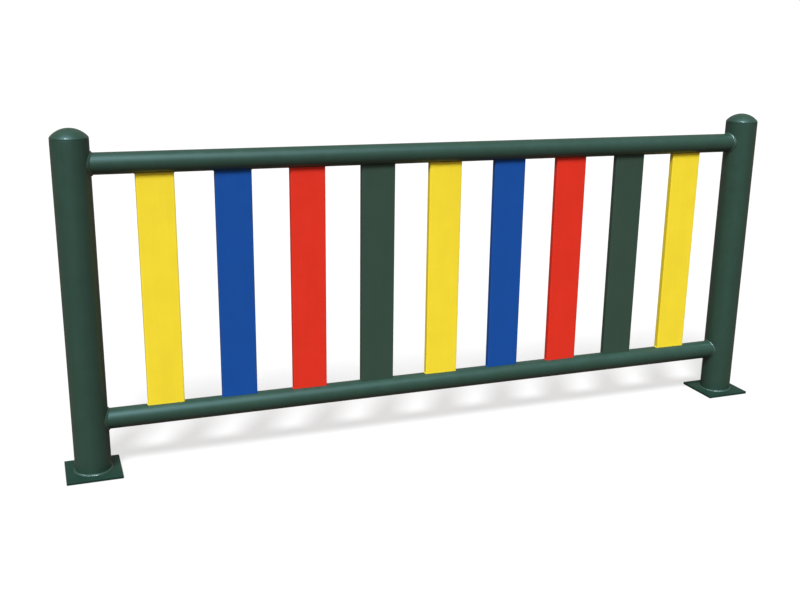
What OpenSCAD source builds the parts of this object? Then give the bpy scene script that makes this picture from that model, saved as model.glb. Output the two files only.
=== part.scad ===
// Guard railing panel for a path or play area.
// Two round posts stand on square base plates. Two round rails are coped and welded between
// the posts, and a row of flat box-section slats is set upright between the rails.
// The ground is Z = 0, X runs along the rails from the middle of the bay, and the front faces -Y.

/* [Bay] */
// Distance between the post centres
bay_l = 2150; // [1400:10:3000]

/* [Posts] */
// Outside diameter of a post tube
post_d = 101.6; // [88.9:0.1:139.7]
// Wall of a post tube
post_wall = 3; // [2:0.5:6]
// Height of a post tube's top edge above the ground
post_top = 951; // [930:1:1300]
// Chamfer on each side of the seam between a tube and its cap
seam_chamfer = 1; // [0.4:0.1:1.4]

/* [Post caps] */
// Rise of the domed cap above its tube
cap_rise = 29; // [18:1:40]
// Upright band at the foot of the cap
cap_band = 1.5; // [1.5:0.5:5]
// Radius where the band turns into the dome
cap_knuckle = 8; // [4:0.5:14]
// Sheet thickness of the cap
cap_wall = 3; // [2:0.5:5]

/* [Base plates] */
// Side of a square base plate
plate_w = 155; // [140:1:240]
// Thickness of a base plate
plate_t = 8; // [5:1:16]
// Corner radius of a base plate
plate_r = 2; // [1:0.5:12]
// Leg of the fillet weld round a post's foot
foot_weld = 5; // [3:0.5:8]

/* [Rails] */
// Outside diameter of a rail tube
rail_d = 60; // [42:1:80]
// Wall of a rail tube
rail_wall = 2.5; // [1.5:0.5:5]
// Height of the bottom rail's centre above the ground
bottom_rail_z = 156; // [80:1:300]
// Drop from the post tubes' top edge to the top rail's centre
top_rail_drop = 67; // [50:1:300]
// Leg of the fillet weld where a rail meets a post
rail_weld = 4; // [3:0.5:8]

/* [Slats] */
// Width of a slat, along the rails
slat_w = 104; // [50:1:150]
// Thickness of a slat, front to back
slat_t = 20; // [12:1:36]
// Wall of a slat's box section
slat_wall = 2; // [1:0.5:4]
// Outside corner radius of a slat's box section
slat_r = 3; // [1:0.5:5]

/* [Hidden] */
$fn = 96;
// Paint of each slat, from the left post to the right one
slat_paints = ["yellow", "blue", "red", "green", "yellow", "blue", "red", "green", "yellow"];
slat_nodes = [for (k = [0 : len(slat_paints) - 1]) str("slat_", k + 1, "_", slat_paints[k])];

left = -1;
right = 1;
post_r = post_d / 2;
rail_r = rail_d / 2;
top_rail_z = post_top - top_rail_drop;
slat_pitch = bay_l / (len(slat_paints) + 1);
// Extra depth with which a cutting shape runs past the face that it cuts
cut = 1;
// Smallest inside corner of a slat's box section
slat_inner_r_min = 0.2;
// The dome is a sphere that meets the knuckle without a step
dome_rise = cap_rise - cap_band;
dome_r = (pow(post_r - cap_knuckle, 2) + pow(dome_rise, 2) - pow(cap_knuckle, 2))
    / (2 * (dome_rise - cap_knuckle));
// Angle from the vertical at which the sphere passes into the knuckle
knuckle_angle = asin((post_r - cap_knuckle) / (dome_r - cap_knuckle));
// Stations along a rail weld and steps across its bead
weld_stations = 48;
bead_steps = 4;

frame_green = [0.16, 0.25, 0.21];
function paint_colour(name) =
    name == "yellow" ? [0.94, 0.84, 0.18] :
    name == "blue" ? [0.10, 0.29, 0.61] :
    name == "red" ? [0.86, 0.21, 0.14] : frame_green;

// A rectangle with round corners, centred on the origin
module rounded_rectangle(size, r) {
    square([size[0] - 2 * r, size[1]], center = true);
    square([size[0], size[1] - 2 * r], center = true);
    for (sx = [-1, 1], sy = [-1, 1])
        translate([sx * (size[0] / 2 - r), sy * (size[1] / 2 - r)])
            circle(r);
}

// Moves its children to the foot of a post
module at_post(side) {
    translate([side * bay_l / 2, 0, 0])
        children();
}

// The full round of a post and of a rail, to which the pieces that meet them are coped
module post_round(side) {
    at_post(side)
        translate([0, 0, plate_t])
            cylinder(r = post_r, h = post_top - plate_t);
}

module rail_round(z, r, l) {
    translate([0, 0, z])
        rotate([0, 90, 0])
            cylinder(r = r, h = l, center = true);
}

// Plain square plate
module base_plate(side) {
    color(frame_green)
        at_post(side)
            linear_extrude(plate_t)
                rounded_rectangle([plate_w, plate_w], plate_r);
}

// Round bead in the corner between a post and its plate
module foot_weld_ring(side) {
    color(frame_green)
        at_post(side)
            rotate_extrude()
                translate([post_r, plate_t])
                    intersection() {
                        circle(foot_weld);
                        square(foot_weld);
                    }
}

// Tube with its top edge chamfered for the cap's seam
module post(side) {
    color(frame_green)
        at_post(side)
            rotate_extrude()
                polygon([
                    [post_r - post_wall, plate_t],
                    [post_r, plate_t],
                    [post_r, post_top - seam_chamfer],
                    [post_r - seam_chamfer, post_top],
                    [post_r - post_wall, post_top]
                ]);
}

// Outline of the cap, above its foot: a band, a knuckle and a spherical dome
module cap_outline() {
    centre_z = cap_rise - dome_r;
    knuckle_x = post_r - cap_knuckle;
    polygon([
        [0, 0],
        [post_r - seam_chamfer, 0],
        [post_r, seam_chamfer],
        [post_r, cap_band],
        [knuckle_x, cap_band],
        [dome_r * sin(knuckle_angle), centre_z + dome_r * cos(knuckle_angle)],
        [0, centre_z + dome_r * cos(knuckle_angle)]
    ]);
    intersection() {
        translate([knuckle_x, cap_band])
            circle(cap_knuckle);
        translate([0, cap_band])
            square([post_r, cap_rise]);
    }
    intersection() {
        translate([0, centre_z])
            circle(dome_r);
        translate([0, centre_z + dome_r * cos(knuckle_angle)])
            square([dome_r * sin(knuckle_angle), cap_rise]);
    }
}

// Pressed cap, open below, seated on the end of its tube
module post_cap(side) {
    color(frame_green)
        at_post(side)
            translate([0, 0, post_top])
                rotate_extrude()
                    difference() {
                        cap_outline();
                        intersection() {
                            translate([0, cap_rise - dome_r])
                                circle(dome_r - cap_wall);
                            translate([0, -cut])
                                square([post_r - cap_wall, cap_rise]);
                        }
                    }
}

// Tube whose two ends are coped to the posts
module rail(z) {
    color(frame_green)
        difference() {
            rail_round(z, rail_r, bay_l);
            rail_round(z, rail_r - rail_wall, bay_l + 2 * cut);
            post_round(left);
            post_round(right);
        }
}

// A point near the joint of a rail and a post, at turn phi round the rail:
// off_rail away from the rail's surface and off_post away from the post's surface
function saddle_point(phi, off_rail, off_post) =
    let (r = rail_r + off_rail, y = r * cos(phi))
    [sqrt(pow(post_r + off_post, 2) - pow(y, 2)), y, r * sin(phi)];

// Weld bead swept along the saddle curve in which a rail meets a post
module rail_end_weld(z, side) {
    bead = concat([[0, 0]], [for (s = [0 : bead_steps])
        rail_weld * [cos(90 * s / bead_steps), sin(90 * s / bead_steps)]]);
    n = len(bead);
    points = [for (i = [0 : weld_stations - 1], b = bead)
        saddle_point(360 * i / weld_stations, b[0], b[1])];
    faces = [for (i = [0 : weld_stations - 1], j = [0 : n - 1])
        let (i2 = (i + 1) % weld_stations, j2 = (j + 1) % n)
        [i * n + j, i * n + j2, i2 * n + j2, i2 * n + j]];
    color(frame_green)
        at_post(side)
            translate([0, 0, z])
                mirror([side == right ? 1 : 0, 0, 0])
                    polyhedron(points, faces);
}

// Box-section slat, both ends coped to the rails
module slat(k) {
    inner_r = max(slat_r - slat_wall, slat_inner_r_min);
    color(paint_colour(slat_paints[k]))
        difference() {
            translate([(k + 1) * slat_pitch - bay_l / 2, 0, bottom_rail_z])
                linear_extrude(top_rail_z - bottom_rail_z)
                    difference() {
                        rounded_rectangle([slat_w, slat_t], slat_r);
                        rounded_rectangle([slat_w - 2 * slat_wall, slat_t - 2 * slat_wall], inner_r);
                    }
            rail_round(bottom_rail_z, rail_r, bay_l);
            rail_round(top_rail_z, rail_r, bay_l);
        }
}

base_plate(left);  // left_base_plate
base_plate(right);  // right_base_plate
foot_weld_ring(left);  // left_foot_weld
foot_weld_ring(right);  // right_foot_weld
post(left);  // left_post
post(right);  // right_post
post_cap(left);  // left_post_cap
post_cap(right);  // right_post_cap
rail(bottom_rail_z);  // bottom_rail
rail(top_rail_z);  // top_rail
rail_end_weld(bottom_rail_z, left);  // bottom_rail_left_weld
rail_end_weld(bottom_rail_z, right);  // bottom_rail_right_weld
rail_end_weld(top_rail_z, left);  // top_rail_left_weld
rail_end_weld(top_rail_z, right);  // top_rail_right_weld
for (k = [0 : len(slat_paints) - 1])
    slat(k);
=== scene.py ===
import math
import bmesh
import bpy
from mathutils import Matrix, Vector


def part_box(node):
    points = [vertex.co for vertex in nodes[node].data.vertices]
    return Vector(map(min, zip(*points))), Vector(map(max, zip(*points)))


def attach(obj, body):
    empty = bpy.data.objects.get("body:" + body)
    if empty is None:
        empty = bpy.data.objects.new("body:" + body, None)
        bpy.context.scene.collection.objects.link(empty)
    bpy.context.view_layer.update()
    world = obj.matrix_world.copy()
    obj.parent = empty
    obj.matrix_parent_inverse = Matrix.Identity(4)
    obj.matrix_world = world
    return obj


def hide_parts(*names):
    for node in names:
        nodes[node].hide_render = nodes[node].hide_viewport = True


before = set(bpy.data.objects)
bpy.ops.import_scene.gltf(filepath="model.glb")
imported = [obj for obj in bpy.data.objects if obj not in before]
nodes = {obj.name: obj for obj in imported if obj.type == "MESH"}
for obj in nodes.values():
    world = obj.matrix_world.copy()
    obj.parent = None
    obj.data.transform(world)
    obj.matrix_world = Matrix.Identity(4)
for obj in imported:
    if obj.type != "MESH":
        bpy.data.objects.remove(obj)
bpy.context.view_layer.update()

# sizes that the new pieces share, read from the frame
mm = 0.001
plateLow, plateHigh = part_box("left_base_plate")
postLow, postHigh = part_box("left_post")
footLow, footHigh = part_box("left_foot_weld")
railLow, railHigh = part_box("bottom_rail")
topRailLow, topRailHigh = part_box("top_rail")
collarLow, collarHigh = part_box("bottom_rail_left_weld")
capLow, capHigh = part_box("left_post_cap")
slatLow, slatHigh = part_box("slat_5_yellow")

plateTop = plateHigh.z
plateHalf = (plateHigh.x - plateLow.x) / 2
postOut = -(postLow.x + postHigh.x) / 2  # from the middle of the bay to a post's axis
postR = (postHigh.x - postLow.x) / 2
railR = (railHigh.z - railLow.z) / 2
bottomRailZ = (railLow.z + railHigh.z) / 2
topRailZ = (topRailLow.z + topRailHigh.z) / 2
slatHalfW = (slatHigh.x - slatLow.x) / 2
slatHalfT = (slatHigh.y - slatLow.y) / 2
slatNodes = sorted(name for name in nodes if name.startswith("slat_"))
slatPaints = [name.split("_")[-1] for name in slatNodes]
slatX = [(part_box(name)[0].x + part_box(name)[1].x) / 2 for name in slatNodes]
slatPitch = slatX[1] - slatX[0]
sideNames = {-1: "left", 1: "right"}


def addObject(name, data):
    obj = bpy.data.objects.new(name, data)
    bpy.context.collection.objects.link(obj)
    return obj


# camera, standing left of the middle and looking down a little
cameraSet = {
    "place": (-1.1728, -2.7747, 1.2512),
    "turn": 20.42,  # degrees to the right of straight ahead
    "tilt": 15.44,  # degrees down
    "lean": 0.762,  # degrees, the picture's own slight tilt
    "lens": 44.82,
    "sensor": 36.0,
    "farthest": 400.0,
}


def makeCamera(s):
    data = bpy.data.cameras.new("camera")
    data.lens = s["lens"]
    data.sensor_width = s["sensor"]
    data.clip_end = s["farthest"]
    cam = addObject("camera", data)
    aim = Matrix.Rotation(-math.radians(s["turn"]), 4, "Z")
    aim = aim @ Matrix.Rotation(math.radians(90 - s["tilt"]), 4, "X")
    aim = aim @ Matrix.Rotation(math.radians(s["lean"]), 4, "Z")
    cam.matrix_world = Matrix.Translation(s["place"]) @ aim
    bpy.context.scene.camera = cam


makeCamera(cameraSet)
print("camera placed")


# node helpers: a value that is a socket is linked, any other is set
def feed(tree, socket, value):
    if isinstance(value, bpy.types.NodeSocket):
        tree.links.new(value, socket)
    else:
        socket.default_value = value


def put(tree, kind, inputs=None, **settings):
    node = tree.nodes.new(kind)
    for name, value in settings.items():
        setattr(node, name, value)
    for name, value in (inputs or {}).items():
        feed(tree, node.inputs[name], value)
    return node


def maths(tree, operation, a, b=0.0, c=0.0, clamp=False):
    made = put(tree, "ShaderNodeMath", {0: a, 1: b, 2: c}, operation=operation, use_clamp=clamp)
    return made.outputs[0]


def objectWhere(tree):
    return put(tree, "ShaderNodeTexCoord").outputs["Object"]


def axesOf(tree, where):
    return put(tree, "ShaderNodeSeparateXYZ", {0: where}).outputs


# a grain is a noise's scale, in grains to the metre, its detail and its roughness
def noise(tree, where, grain):
    scale, detail, rough = grain
    made = put(tree, "ShaderNodeTexNoise", {
        "Vector": where,
        "Scale": scale,
        "Detail": detail,
        "Roughness": rough,
    })
    return made.outputs["Fac"]


rising = (0.0, 1.0)
falling = (1.0, 0.0)


# a smooth step from one band of values to another
def span(tree, value, fromBand, toBand=rising):
    made = put(tree, "ShaderNodeMapRange", {
        "Value": value,
        "From Min": fromBand[0],
        "From Max": fromBand[1],
        "To Min": toBand[0],
        "To Max": toBand[1],
    }, interpolation_type="SMOOTHSTEP")
    return made.outputs["Result"]


def mixed(tree, share, a, b):
    made = put(tree, "ShaderNodeMix", {0: share, 6: a, 7: b}, data_type="RGBA")  # 6 and 7 take colours
    return made.outputs[2]


def newGroup(name, inputs, outputs):
    tree = bpy.data.node_groups.new(name, "ShaderNodeTree")
    for way, sockets in (("INPUT", inputs), ("OUTPUT", outputs)):
        for label, kind in sockets.items():
            tree.interface.new_socket(label, in_out=way, socket_type="NodeSocket" + kind)
    got = tree.nodes.new("NodeGroupInput").outputs
    out = tree.nodes.new("NodeGroupOutput").inputs
    return tree, got, out


# screen colour, 0 to 255, to the linear values that the nodes take
def rgb(red, green, blue):
    def linear(v):
        v = v / 255
        return v / 12.92 if v <= 0.04045 else ((v + 0.055) / 1.055) ** 2.4
    return (linear(red), linear(green), linear(blue), 1.0)


# sprayed enamel: soft clouds of tone, faint rain streaks, orange peel, dust nibs and uneven gloss
spraySet = {
    "cloudGrain": (9.0, 4.0, 0.6),
    "cloudBand": (0.3, 0.7),
    "cloudSwing": (-1.0, 1.0),
    "streakStretch": (70.0, 70.0, 2.2),  # drawn out along Z
    "streakGrain": (1.0, 3.0, 0.6),
    "streakBand": (0.35, 0.75),
    "streakSwing": (-0.4, 0.4),
    "streakDull": 0.06,
    "patchGrain": (34.0, 3.0, 0.5),
    "patchBand": (0.3, 0.7),
    "patchDull": (-0.05, 0.06),
    "peelGrain": (380.0, 1.5, 0.4),
    "finePeelGrain": (1500.0, 1.0, 0.5),
    "finePeelShare": 0.2,
    "nibScale": 75.0,
    "nibBand": (0.03, 0.07),
    "nibRise": (1.4, 0.0),
    "nibPlaceGrain": (31.0, 1.0, 0.5),  # nibs come in a few places only
    "nibPlaceBand": (0.55, 0.6),
}


def makeSprayGroup(s):
    tree, got, out = newGroup(
        "sprayedEnamel",
        {"Paint": "Color", "Cloud": "Float", "Gloss": "Float"},
        {"Color": "Color", "Roughness": "Float", "Height": "Float"},
    )
    where = objectWhere(tree)
    cloud = span(tree, noise(tree, where, s["cloudGrain"]), s["cloudBand"], s["cloudSwing"])
    drawn = put(tree, "ShaderNodeMapping", {"Vector": where, "Scale": s["streakStretch"]}).outputs[0]
    streak = span(tree, noise(tree, drawn, s["streakGrain"]), s["streakBand"], s["streakSwing"])
    swing = maths(tree, "MULTIPLY_ADD", maths(tree, "ADD", cloud, streak), got["Cloud"], 1.0)
    tone = put(tree, "ShaderNodeVectorMath", {0: got["Paint"], 1: swing}, operation="MULTIPLY")
    feed(tree, out["Color"], tone.outputs[0])

    patch = span(tree, noise(tree, where, s["patchGrain"]), s["patchBand"], s["patchDull"])
    dulled = maths(tree, "MULTIPLY_ADD", streak, s["streakDull"], patch)
    feed(tree, out["Roughness"], maths(tree, "ADD", got["Gloss"], dulled))

    peel = noise(tree, where, s["peelGrain"])
    finePeel = noise(tree, where, s["finePeelGrain"])
    skin = maths(tree, "MULTIPLY_ADD", finePeel, s["finePeelShare"], peel)
    spots = put(tree, "ShaderNodeTexVoronoi", {"Vector": where, "Scale": s["nibScale"]})
    nib = span(tree, spots.outputs["Distance"], s["nibBand"], s["nibRise"])
    few = span(tree, noise(tree, where, s["nibPlaceGrain"]), s["nibPlaceBand"])
    feed(tree, out["Height"], maths(tree, "MULTIPLY_ADD", nib, few, skin))
    return tree


# a dark film, partly road dirt and partly painted shade low down, with a ragged edge that thins out above
# the ground
filmSet = {"grain": (26.0, 5.0, 0.65), "ragged": 0.7}


def makeFilmGroup(s):
    tree, got, out = newGroup(
        "dirtAndShadeFilm",
        {"Color": "Color", "Film": "Color", "Reach": "Float", "Amount": "Float"},
        {"Color": "Color", "Mask": "Float"},
    )
    where = objectWhere(tree)
    ragged = maths(tree, "MULTIPLY_ADD", noise(tree, where, s["grain"]), s["ragged"], -s["ragged"] / 2)
    level = maths(tree, "DIVIDE", axesOf(tree, where)["Z"], got["Reach"])
    fade = span(tree, maths(tree, "ADD", level, ragged), rising, falling)
    mask = maths(tree, "MULTIPLY", fade, got["Amount"], clamp=True)
    feed(tree, out["Color"], mixed(tree, mask, got["Color"], got["Film"]))
    feed(tree, out["Mask"], mask)
    return tree


# worn corners: the coat below shows in broken specks where the distance to an edge is small
chipSet = {"grain": (130.0, 5.0, 0.7), "cut": (0.92, 0.98)}


def makeChipGroup(s):
    tree, got, out = newGroup(
        "wornCorners",
        {"Color": "Color", "Below": "Color", "Distance": "Float", "Reach": "Float", "Share": "Float"},
        {"Color": "Color", "Mask": "Float"},
    )
    near = span(tree, maths(tree, "DIVIDE", got["Distance"], got["Reach"]), rising, falling)
    broken = maths(tree, "MULTIPLY", noise(tree, objectWhere(tree), s["grain"]), near)
    mask = span(tree, maths(tree, "ADD", broken, got["Share"]), s["cut"])
    feed(tree, out["Color"], mixed(tree, mask, got["Color"], got["Below"]))
    feed(tree, out["Mask"], mask)
    return tree


sprayGroup = makeSprayGroup(spraySet)
filmGroup = makeFilmGroup(filmSet)
chipGroup = makeChipGroup(chipSet)
print("node groups built")


# what all the enamels share
enamelSet = {
    "green": rgb(41, 67, 55),
    # colour of the dark film, road dirt and painted shade near the ground
    "film": rgb(14, 40, 34),
    "primer": rgb(92, 94, 92),
    # a painted reflection: the gloss is tinted cool, as if it mirrored a blue sky
    "paintedSkyGlossTint": (0.5, 0.88, 1.0, 1.0),  # the gloss mirrors a cool sky
    "coatGloss": 0.12,
    "peelDepth": 0.16 * mm,
    "peelShare": 0.6,
}


def startPaint(name, specular, coat):
    made = bpy.data.materials.new(name)
    made.use_nodes = True
    tree = made.node_tree
    tree.nodes.clear()
    shader = put(tree, "ShaderNodeBsdfPrincipled", {
        "Specular IOR Level": specular,
        "Specular Tint": enamelSet["paintedSkyGlossTint"],
        "Coat Weight": coat,
        "Coat Roughness": enamelSet["coatGloss"],
    })
    put(tree, "ShaderNodeOutputMaterial", {"Surface": shader.outputs[0]})
    return made, tree, shader


def endPaint(tree, shader, colour, rough, height):
    bump = put(tree, "ShaderNodeBump", {
        "Height": height,
        "Strength": enamelSet["peelShare"],
        "Distance": enamelSet["peelDepth"],
    })
    feed(tree, shader.inputs["Base Color"], colour)
    feed(tree, shader.inputs["Roughness"], rough)
    feed(tree, shader.inputs["Normal"], bump.outputs[0])


def sprayed(tree, s, paint):
    made = put(tree, "ShaderNodeGroup", {
        "Paint": paint,
        "Cloud": s["cloud"],
        "Gloss": s["gloss"],
    }, node_tree=sprayGroup)
    return made.outputs["Color"], made.outputs["Roughness"], made.outputs["Height"]


# green enamel under the dark film of road dirt and painted shade, which also dulls it
def filmedGreen(tree, s):
    colour, rough, height = sprayed(tree, s, enamelSet["green"])
    film = put(tree, "ShaderNodeGroup", {
        "Color": colour,
        "Film": enamelSet["film"],
        "Reach": s["filmReach"],
        "Amount": s["filmAmount"],
    }, node_tree=filmGroup).outputs
    rough = maths(tree, "MULTIPLY_ADD", film["Mask"], s["filmDull"], rough)
    return film["Color"], rough, height


# chips along an edge, which are duller and lie lower than the paint
def chipped(tree, s, below, distance, colour, rough, height):
    chips = put(tree, "ShaderNodeGroup", {
        "Color": colour,
        "Below": below,
        "Distance": distance,
        "Reach": s["chipReach"],
        "Share": s["chipShare"],
    }, node_tree=chipGroup).outputs
    rough = maths(tree, "MULTIPLY_ADD", chips["Mask"], s["chipDull"], rough)
    height = maths(tree, "SUBTRACT", height, chips["Mask"])
    return chips["Color"], rough, height


# enamel of the posts, caps and rails, and of the weld beads
frameEnamel = {
    "specular": 0.6,
    "coat": 0.25,
    "beadCoat": 0.8,  # the paint lies thick and shiny on the welds
    "gloss": 0.45,
    "cloud": 0.05,
    # the dark film of dirt and painted shade reaches 70 mm up from the ground
    "filmReach": 70 * mm,
    "filmAmount": 0.2,
    "filmDull": 0.2,
}


def makeFramePaint(name, coat):
    made, tree, shader = startPaint(name, frameEnamel["specular"], coat)
    endPaint(tree, shader, *filmedGreen(tree, frameEnamel))
    return made


# enamel of the base plates, duller and chipped to the primer at the edges
plateEnamel = {
    "specular": 0.15,
    "coat": 0.03,
    "gloss": 0.45,
    "cloud": 0.08,
    # the dark film of dirt and painted shade covers most of the plate
    "filmReach": 50 * mm,
    "filmAmount": 0.55,
    "filmDull": 0.2,
    "chipReach": 4 * mm,
    "chipShare": 0.24,
    "chipDull": 0.2,
}


def plateEdgeDistance(tree):
    axes = axesOf(tree, objectWhere(tree))
    fromMiddle = maths(tree, "ABSOLUTE", axes["X"])
    fromPost = maths(tree, "ABSOLUTE", maths(tree, "SUBTRACT", fromMiddle, postOut))
    farthest = maths(tree, "MAXIMUM", fromPost, maths(tree, "ABSOLUTE", axes["Y"]))
    return maths(tree, "SUBTRACT", plateHalf, farthest)


def makePlatePaint():
    s = plateEnamel
    made, tree, shader = startPaint("enamelPlateGreen", s["specular"], s["coat"])
    edge = plateEdgeDistance(tree)
    endPaint(tree, shader, *chipped(tree, s, enamelSet["primer"], edge, *filmedGreen(tree, s)))
    return made


# enamel of the slats, chipped to the green below at the corners
slatEnamel = {
    "specular": 0.25,
    "coat": 0.05,
    "gloss": 0.5,
    "cloud": 0.025,
    "chipReach": 5 * mm,
    "chipShare": 0.2,
    "chipDull": 0.1,
    "lineGrain": (70.0, 2.0, 0.5),
    "lineWander": 0.9 * mm,
    "lineBlur": 0.3 * mm,
}
slatColours = {
    "yellow": rgb(243, 219, 51),
    "blue": rgb(22, 75, 154),
    "red": rgb(220, 49, 31),
    "green": rgb(53, 73, 61),
}


# distance to the nearest upright corner of a slat, by the slats' even pitch
def slatCornerDistance(tree, axes):
    across = maths(tree, "WRAP", axes["X"], slatPitch / 2, -slatPitch / 2)
    sideGap = maths(tree, "SUBTRACT", slatHalfW, maths(tree, "ABSOLUTE", across))
    faceGap = maths(tree, "SUBTRACT", slatHalfT, maths(tree, "ABSOLUTE", axes["Y"]))
    faceSquare = maths(tree, "MULTIPLY", faceGap, faceGap)
    return maths(tree, "SQRT", maths(tree, "MULTIPLY_ADD", sideGap, sideGap, faceSquare))


# distance along Z to the nearer end of a slat
def slatEndDistance(tree, axes):
    up = maths(tree, "SUBTRACT", axes["Z"], slatLow.z)
    down = maths(tree, "SUBTRACT", slatHigh.z, axes["Z"])
    return maths(tree, "MINIMUM", up, down)


def makeSlatPaint(paint):
    s = slatEnamel
    made, tree, shader = startPaint("enamelSlat" + paint.capitalize(), s["specular"], s["coat"])
    where = objectWhere(tree)
    axes = axesOf(tree, where)
    corner = slatCornerDistance(tree, axes)
    coat = sprayed(tree, s, slatColours[paint])
    colour, rough, height = chipped(tree, s, enamelSet["green"], corner, *coat)
    # the coloured coat stops a little short of the rails, along a hand-cut line
    wander = maths(tree, "MULTIPLY", noise(tree, where, s["lineGrain"]), s["lineWander"])
    bare = maths(tree, "SUBTRACT", slatEndDistance(tree, axes), wander)
    line = span(tree, bare, (0.0, s["lineBlur"]), falling)
    endPaint(tree, shader, mixed(tree, line, colour, enamelSet["green"]), rough, height)
    return made


framePaint = makeFramePaint("enamelFrameGreen", frameEnamel["coat"])
beadPaint = makeFramePaint("enamelBeadGreen", frameEnamel["beadCoat"])
platePaint = makePlatePaint()
slatPaint = {paint: makeSlatPaint(paint) for paint in slatColours}
print("enamels mixed for the frame, the beads, the plates and", len(slatPaint), "slat colours")


def dress(obj, material):
    obj.data.materials.clear()
    obj.data.materials.append(material)


for name in ("left_post", "right_post", "bottom_rail", "top_rail"):
    dress(nodes[name], framePaint)
for name, paint in zip(slatNodes, slatPaints):
    dress(nodes[name], slatPaint[paint])
print("tubes and slats dressed")


mergeGap = 0.001 * mm  # vertices nearer than this are one


# sharp is the angle, in degrees, past which an edge isn't smoothed
def finishPiece(name, bm, material, sharp):
    bmesh.ops.remove_doubles(bm, verts=bm.verts, dist=mergeGap)
    bmesh.ops.recalc_face_normals(bm, faces=bm.faces)
    mesh = bpy.data.meshes.new(name)
    bm.to_mesh(mesh)
    bm.free()
    mesh.shade_smooth()
    mesh.set_sharp_from_angle(angle=math.radians(sharp))
    obj = addObject(name, mesh)
    dress(obj, material)
    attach(obj, "root")
    return obj


def turnRound(bm, geom, axis, steps):
    bmesh.ops.spin(bm, geom=geom, cent=(0, 0, 0), axis=axis, dvec=(0, 0, 0),
                   angle=math.tau, steps=steps, use_merge=True)


# pressed caps: a band, a knuckle and a round crown, drawn as arcs and turned about the post
capSet = {
    "band": 1.5 * mm,
    "knuckle": 8.0 * mm,
    "wall": 3.0 * mm,
    "chamfer": 1.0 * mm,  # half of the groove at the seam
    "crownSteps": 16,
    "knuckleSteps": 8,
    "turnSteps": 96,
    "sharp": 35,
}


# these two carry the outline on from a vertex and return the new end
def arcOn(bm, start, centre, angle, steps):
    made = bmesh.ops.spin(bm, geom=[start], cent=centre, axis=(0, 1, 0), dvec=(0, 0, 0),
                          angle=angle, steps=steps)
    return next(g for g in made["geom_last"] if isinstance(g, bmesh.types.BMVert))


def lineOn(bm, start, radius, height):
    end = bm.verts.new((radius, 0, height))
    bm.edges.new((start, end))
    return end


def postCap(side):
    s = capSet
    rise = capHigh.z - capLow.z
    flat = postR - s["knuckle"]
    crown = rise - s["band"]
    crownR = (flat ** 2 + crown ** 2 - s["knuckle"] ** 2) / (2 * (crown - s["knuckle"]))
    centre = (0, 0, rise - crownR)
    turnOver = math.asin(flat / (crownR - s["knuckle"]))  # where the crown passes into the knuckle
    innerR = postR - s["wall"]
    innerTurn = math.asin(innerR / (crownR - s["wall"]))
    seat = rise - crownR + (crownR - s["wall"]) * math.cos(innerTurn)

    bm = bmesh.new()
    end = bm.verts.new((0, 0, rise))
    end = arcOn(bm, end, centre, turnOver, s["crownSteps"])
    end = arcOn(bm, end, (flat, 0, s["band"]), math.pi / 2 - turnOver, s["knuckleSteps"])
    end = lineOn(bm, end, postR, s["chamfer"])
    end = lineOn(bm, end, postR - s["chamfer"], 0)
    end = lineOn(bm, end, innerR, 0)
    end = lineOn(bm, end, innerR, seat)
    arcOn(bm, end, centre, -innerTurn, s["crownSteps"])
    turnRound(bm, bm.verts[:] + bm.edges[:], (0, 0, 1), s["turnSteps"])
    bmesh.ops.translate(bm, verts=bm.verts, vec=(side * postOut, 0, capLow.z))
    name = sideNames[side]
    obj = finishPiece(name + "_pressed_cap", bm, framePaint, s["sharp"])
    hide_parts(name + "_post_cap")


for side in sideNames:
    postCap(side)
print("caps pressed")


# weld beads, laid down in overlapping scales
beadSet = {
    "scaleLength": 3.4 * mm,
    "stepsPerScale": 6,
    "arcSteps": 7,
    "sink": 0.8 * mm,  # how far the root goes into the tubes
    "crown": 0.12,
    "lift": 0.17,
    "riseShare": 0.7,  # a scale rises slowly and falls quickly
    "bow": 0.9,  # how far each scale bows forward, in scales
    "wander": 0.10,
    "slowWaves": ((3, 1.0, 0.6), (7, 0.0, 0.4)),  # waves to a turn, start, share
    "sharp": 75,
}


# a low crown from one toe to the other, closed through a sunk root
def beadProfile(bm, leg, toPlace):
    s = beadSet
    places = [(leg, -s["sink"]), (leg, 0.0)]
    for k in range(1, s["arcSteps"] + 1):
        t = k / s["arcSteps"]
        bulge = leg * s["crown"] * 4 * t * (1 - t)  # full halfway
        places.append((leg * (1 - t) + bulge, leg * t + bulge))
    places += [(-s["sink"], leg), (-s["sink"], -s["sink"])]
    ring = [bm.verts.new(toPlace(out, up)) for out, up in places]
    return [bm.edges.new(pair) for pair in zip(ring, ring[1:] + ring[:1])]


# one scale, bowed across the bead, and the hand's slow wander
def scaleWave(turn, scales, out, up, leg):
    s = beadSet
    slant = (out - up) / leg
    phase = (turn / math.tau * scales + s["bow"] * slant * slant) % 1.0
    top = s["riseShare"]
    rise = phase / top if phase < top else (1.0 - phase) / (1.0 - top)
    slow = sum(share * math.sin(waves * turn + start) for waves, start, share in s["slowWaves"])
    return s["lift"] * (rise - 0.5) + s["wander"] * slow


def footBead(side):
    s = beadSet
    leg = footHigh.z - footLow.z
    scales = round(math.tau * postR / s["scaleLength"])
    bm = bmesh.new()
    edges = beadProfile(bm, leg, lambda out, up: (postR + out, 0.0, plateTop + up))
    turnRound(bm, edges + bm.verts[:], (0, 0, 1), scales * s["stepsPerScale"])
    for v in bm.verts:
        out = v.co.xy.length - postR
        up = v.co.z - plateTop
        if out < 0 or up < 0:
            continue
        turn = math.atan2(v.co.y, v.co.x)
        grow = 1.0 + scaleWave(turn, scales, out, up, leg)
        reach = postR + out * grow
        v.co = (reach * math.cos(turn), reach * math.sin(turn), plateTop + up * grow)
    bmesh.ops.translate(bm, verts=bm.verts, vec=(side * postOut, 0, 0))
    name = sideNames[side]
    obj = finishPiece(name + "_foot_bead", bm, beadPaint, s["sharp"])
    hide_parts(name + "_foot_weld")


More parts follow.
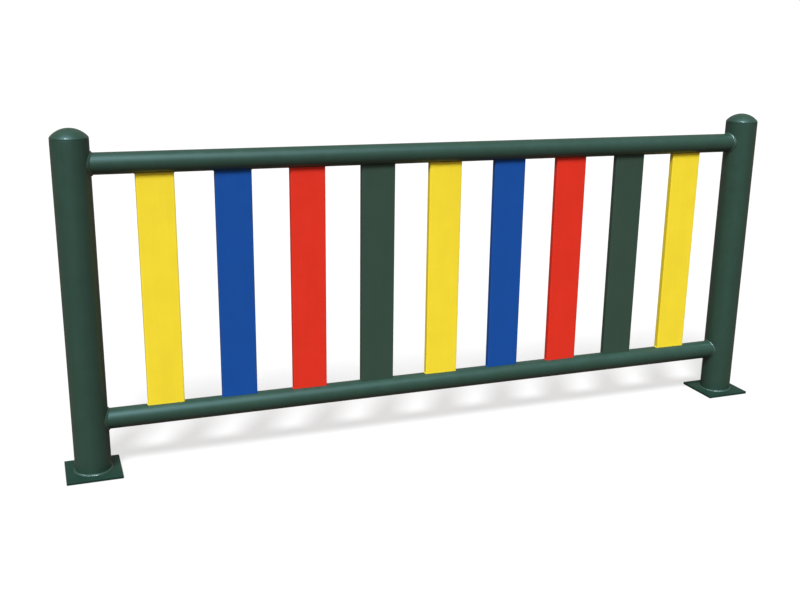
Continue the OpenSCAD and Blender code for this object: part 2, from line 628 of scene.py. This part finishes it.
# a ring round the rail, bent onto the round of the post
def saddleBead(railName, railZ, side):
    s = beadSet
    leg = (collarHigh.z - collarLow.z) / 2 - railR
    scales = round(math.tau * railR / s["scaleLength"])
    bm = bmesh.new()
    edges = beadProfile(bm, leg, lambda out, off: (off, 0.0, railR + out))
    turnRound(bm, edges + bm.verts[:], (1, 0, 0), scales * s["stepsPerScale"])
    for v in bm.verts:
        off = v.co.x
        out = v.co.yz.length - railR
        turn = math.atan2(v.co.y, v.co.z)
        if off >= 0 and out >= 0:
            grow = 1.0 + scaleWave(turn, scales, out, off, leg)
            off *= grow
            out *= grow
        y = (railR + out) * math.sin(turn)
        v.co = (math.sqrt((postR + off) ** 2 - y * y), y, railZ + (railR + out) * math.cos(turn))
    bmesh.ops.translate(bm, verts=bm.verts, vec=(-postOut, 0, 0))
    if side > 0:
        bmesh.ops.scale(bm, verts=bm.verts, vec=(-1, 1, 1))
    name = railName + "_" + sideNames[side]
    obj = finishPiece(name + "_bead", bm, beadPaint, s["sharp"])
    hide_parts(name + "_weld")


for side in sideNames:
    footBead(side)
    saddleBead("bottom_rail", bottomRailZ, side)
    saddleBead("top_rail", topRailZ, side)
print("weld beads laid")


# base plates with eased edges
plateSet = {
    "corner": 2.0 * mm,
    "cornerSteps": 5,
    "ease": 0.9 * mm,
    "easeSteps": 3,
    "rimAngle": 80,  # degrees, an edge that turns more is eased
    "sharp": 50,
}


def basePlate(side):
    s = plateSet
    bm = bmesh.new()
    bmesh.ops.create_grid(bm, x_segments=1, y_segments=1, size=plateHalf)
    bmesh.ops.bevel(bm, geom=bm.verts[:], offset=s["corner"], offset_type="OFFSET", affect="VERTICES",
                    segments=s["cornerSteps"], profile=0.5, material=-1)
    lid = bmesh.ops.extrude_face_region(bm, geom=bm.faces[:])
    lifted = [g for g in lid["geom"] if isinstance(g, bmesh.types.BMVert)]
    bmesh.ops.translate(bm, verts=lifted, vec=(0, 0, plateTop))
    bmesh.ops.recalc_face_normals(bm, faces=bm.faces)
    rims = [e for e in bm.edges if e.calc_face_angle(0.0) > math.radians(s["rimAngle"])]
    bmesh.ops.bevel(bm, geom=rims, offset=s["ease"], offset_type="OFFSET", affect="EDGES",
                    segments=s["easeSteps"], profile=0.5, material=-1)
    bmesh.ops.translate(bm, verts=bm.verts, vec=(side * postOut, 0, 0))
    name = sideNames[side]
    obj = finishPiece(name + "_eased_plate", bm, platePaint, s["sharp"])
    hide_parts(name + "_base_plate")


for side in sideNames:
    basePlate(side)
print("base plates eased")


# short tack welds on the slats' narrow edges, painted with the slat
tackSet = {
    "length": 13 * mm,
    "bulge": 2.4 * mm,
    "ripple": 0.12,
    "rippleTurn": 9.0,  # radians of ripple over half the length
    "sideSteps": 12,
    "ringSteps": 8,
    "sharp": 80,
}


# one tack, bent to the round of the rail
def layTack(bm, edgeX, railZ, up):
    s = tackSet
    made = bmesh.ops.create_uvsphere(bm, u_segments=s["sideSteps"], v_segments=s["ringSteps"], radius=1.0)
    for v in made["verts"]:
        y = v.co.y * s["length"] / 2
        swell = s["bulge"] * (1.0 + s["ripple"] * math.sin(v.co.y * s["rippleTurn"]))
        seat = math.sqrt(railR ** 2 - y * y)
        v.co = (edgeX + v.co.x * swell, y, railZ + up * (seat + v.co.z * swell))


def slatTacks(paint):
    bm = bmesh.new()
    for x in [x for x, colour in zip(slatX, slatPaints) if colour == paint]:
        for railZ, up in ((bottomRailZ, 1), (topRailZ, -1)):
            for side in sideNames:
                layTack(bm, x + side * slatHalfW, railZ, up)
    finishPiece("slat_tacks_" + paint, bm, slatPaint[paint], tackSet["sharp"])


for paint in slatColours:
    slatTacks(paint)
print("slat tacks set")


# studio: a pale floor and a white sky, whose own light on the panel is weak and a little warm
studioSet = {
    "white": (1.0, 1.0, 1.0, 1.0),
    "floorSize": 160.0,
    "floorDrop": 0.4 * mm,
    "floorRough": 0.9,
    "floorShown": (0.28, 0.28, 0.28, 1.0),
    "floorGlow": 0.62,
    "floorBounce": (0.12, 0.075, 0.06, 1.0),
    "floorMirror": 0.03,  # how much of the white floor the gloss picks up
    "skyBounce": (0.125, 0.078, 0.065, 1.0),
    "skyMirror": 0.16,  # how much of the white sky the gloss picks up
}
# lamps: a high key and a wide soft one from the front left, and a fill from behind without shine
lampSet = {
    "key": {
        "strength": 4.21,
        "across": 15.0,  # degrees, which softens the shadows
        "from": (-0.28, -0.53, 0.80),
        "tint": (0.97, 0.98, 1.0),
        "shines": True,
    },
    "soft": {
        "strength": 1.1,
        "across": 75.0,
        "from": (-0.25, -0.57, 0.78),
        "tint": (0.86, 0.97, 1.0),
        "shines": True,
    },
    "back": {
        "strength": 2.7,
        "across": 60.0,
        "from": (0.52, 0.84, 0.17),
        "tint": (1.0, 1.0, 1.0),
        "shines": False,
    },
}


# the camera and rays through clear things see the white in full, and gloss sees a share of it
def seenMask(tree, mirrorShare):
    path = put(tree, "ShaderNodeLightPath").outputs
    mirrored = maths(tree, "MULTIPLY", path["Is Glossy Ray"], mirrorShare)
    share = maths(tree, "MAXIMUM", path["Is Camera Ray"], mirrored)
    return maths(tree, "MAXIMUM", share, path["Is Transmission Ray"])


def makeFloor(s):
    bm = bmesh.new()
    bmesh.ops.create_grid(bm, x_segments=1, y_segments=1, size=s["floorSize"] / 2)
    bmesh.ops.translate(bm, verts=bm.verts, vec=(0, 0, -s["floorDrop"]))
    mesh = bpy.data.meshes.new("floor")
    bm.to_mesh(mesh)
    bm.free()
    floor = addObject("floor", mesh)

    made = bpy.data.materials.new("paleFloor")
    made.use_nodes = True
    tree = made.node_tree
    seen = seenMask(tree, s["floorMirror"])
    shader = tree.nodes["Principled BSDF"].inputs
    feed(tree, shader["Base Color"], mixed(tree, seen, s["floorBounce"], s["floorShown"]))
    feed(tree, shader["Roughness"], s["floorRough"])
    feed(tree, shader["Specular IOR Level"], 0.0)
    feed(tree, shader["Emission Color"], s["white"])
    feed(tree, shader["Emission Strength"], maths(tree, "MULTIPLY", seen, s["floorGlow"]))
    dress(floor, made)


def makeSky(s):
    world = bpy.data.worlds.new("studioSky")
    world.use_nodes = True
    tree = world.node_tree
    seen = seenMask(tree, s["skyMirror"])
    shade = mixed(tree, seen, s["skyBounce"], s["white"])
    feed(tree, tree.nodes["Background"].inputs["Color"], shade)
    bpy.context.scene.world = world


def makeLamp(label, s):
    lamp = bpy.data.lights.new(label + "Light", "SUN")
    lamp.energy = s["strength"]
    lamp.angle = math.radians(s["across"])
    lamp.color = s["tint"]
    holder = addObject(label + "Light", lamp)
    holder.rotation_euler = Vector(s["from"]).to_track_quat("Z", "Y").to_euler()
    holder.visible_glossy = s["shines"]


makeFloor(studioSet)
makeSky(studioSet)
for label, lamp in lampSet.items():
    makeLamp(label, lamp)
bpy.context.scene.view_settings.view_transform = "Standard"
print("studio lit")
